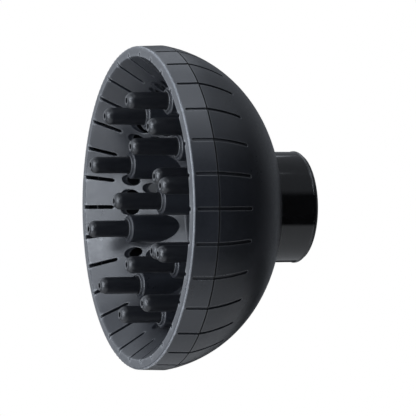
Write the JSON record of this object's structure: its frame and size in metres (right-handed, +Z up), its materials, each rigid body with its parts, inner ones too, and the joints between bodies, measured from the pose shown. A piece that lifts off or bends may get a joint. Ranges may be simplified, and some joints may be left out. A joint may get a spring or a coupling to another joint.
{
  "type": "hair dryer diffuser",
  "caption": "Round bowl diffuser for a hair dryer: slotted bowl with air holes and rings of hollow fingers, domed rear shell, and a push-on collar on which the bowl turns.",
  "frame": {"origin": "centre of the ledge inside the collar against which the dryer's nozzle stops", "axes": "+X along the collar's bore, towards the dryer; the bowl's mouth faces -X; +Z up as the dryer is held level"},
  "size_m": [0.0913, 0.1574, 0.1574],
  "materials": {
    "bowl_plastic": "fine matte texture, black",
    "shell_plastic": "fine matte texture, black",
    "finger_plastic": "smooth satin, black",
    "collar_plastic": "polished, black",
    "ring_plastic": "plain moulded, black",
    "sleeve_rubber": "matte silicone, black"
  },
  "bodies": {
    "collar_unit": {"collar": "collar_plastic", "grip_sleeve": "sleeve_rubber", "snap_ring": "ring_plastic"},
    "bowl_unit": {"front_bowl": "bowl_plastic", "rear_shell": "shell_plastic", "outer_finger_01": "finger_plastic", "outer_finger_02": "finger_plastic", "outer_finger_03": "finger_plastic", "outer_finger_04": "finger_plastic", "outer_finger_05": "finger_plastic", "outer_finger_06": "finger_plastic", "outer_finger_07": "finger_plastic", "outer_finger_08": "finger_plastic", "outer_finger_09": "finger_plastic", "outer_finger_10": "finger_plastic", "inner_finger_01": "finger_plastic", "inner_finger_02": "finger_plastic", "inner_finger_03": "finger_plastic", "inner_finger_04": "finger_plastic", "inner_finger_05": "finger_plastic"}
  },
  "joints": [
    {"name": "bowl_swivel", "type": "hinge", "parent": "collar_unit", "child": "bowl_unit", "pos_m": [-0.003, 0, 0], "axis": [1, 0, 0], "continuous": true}
  ]
}
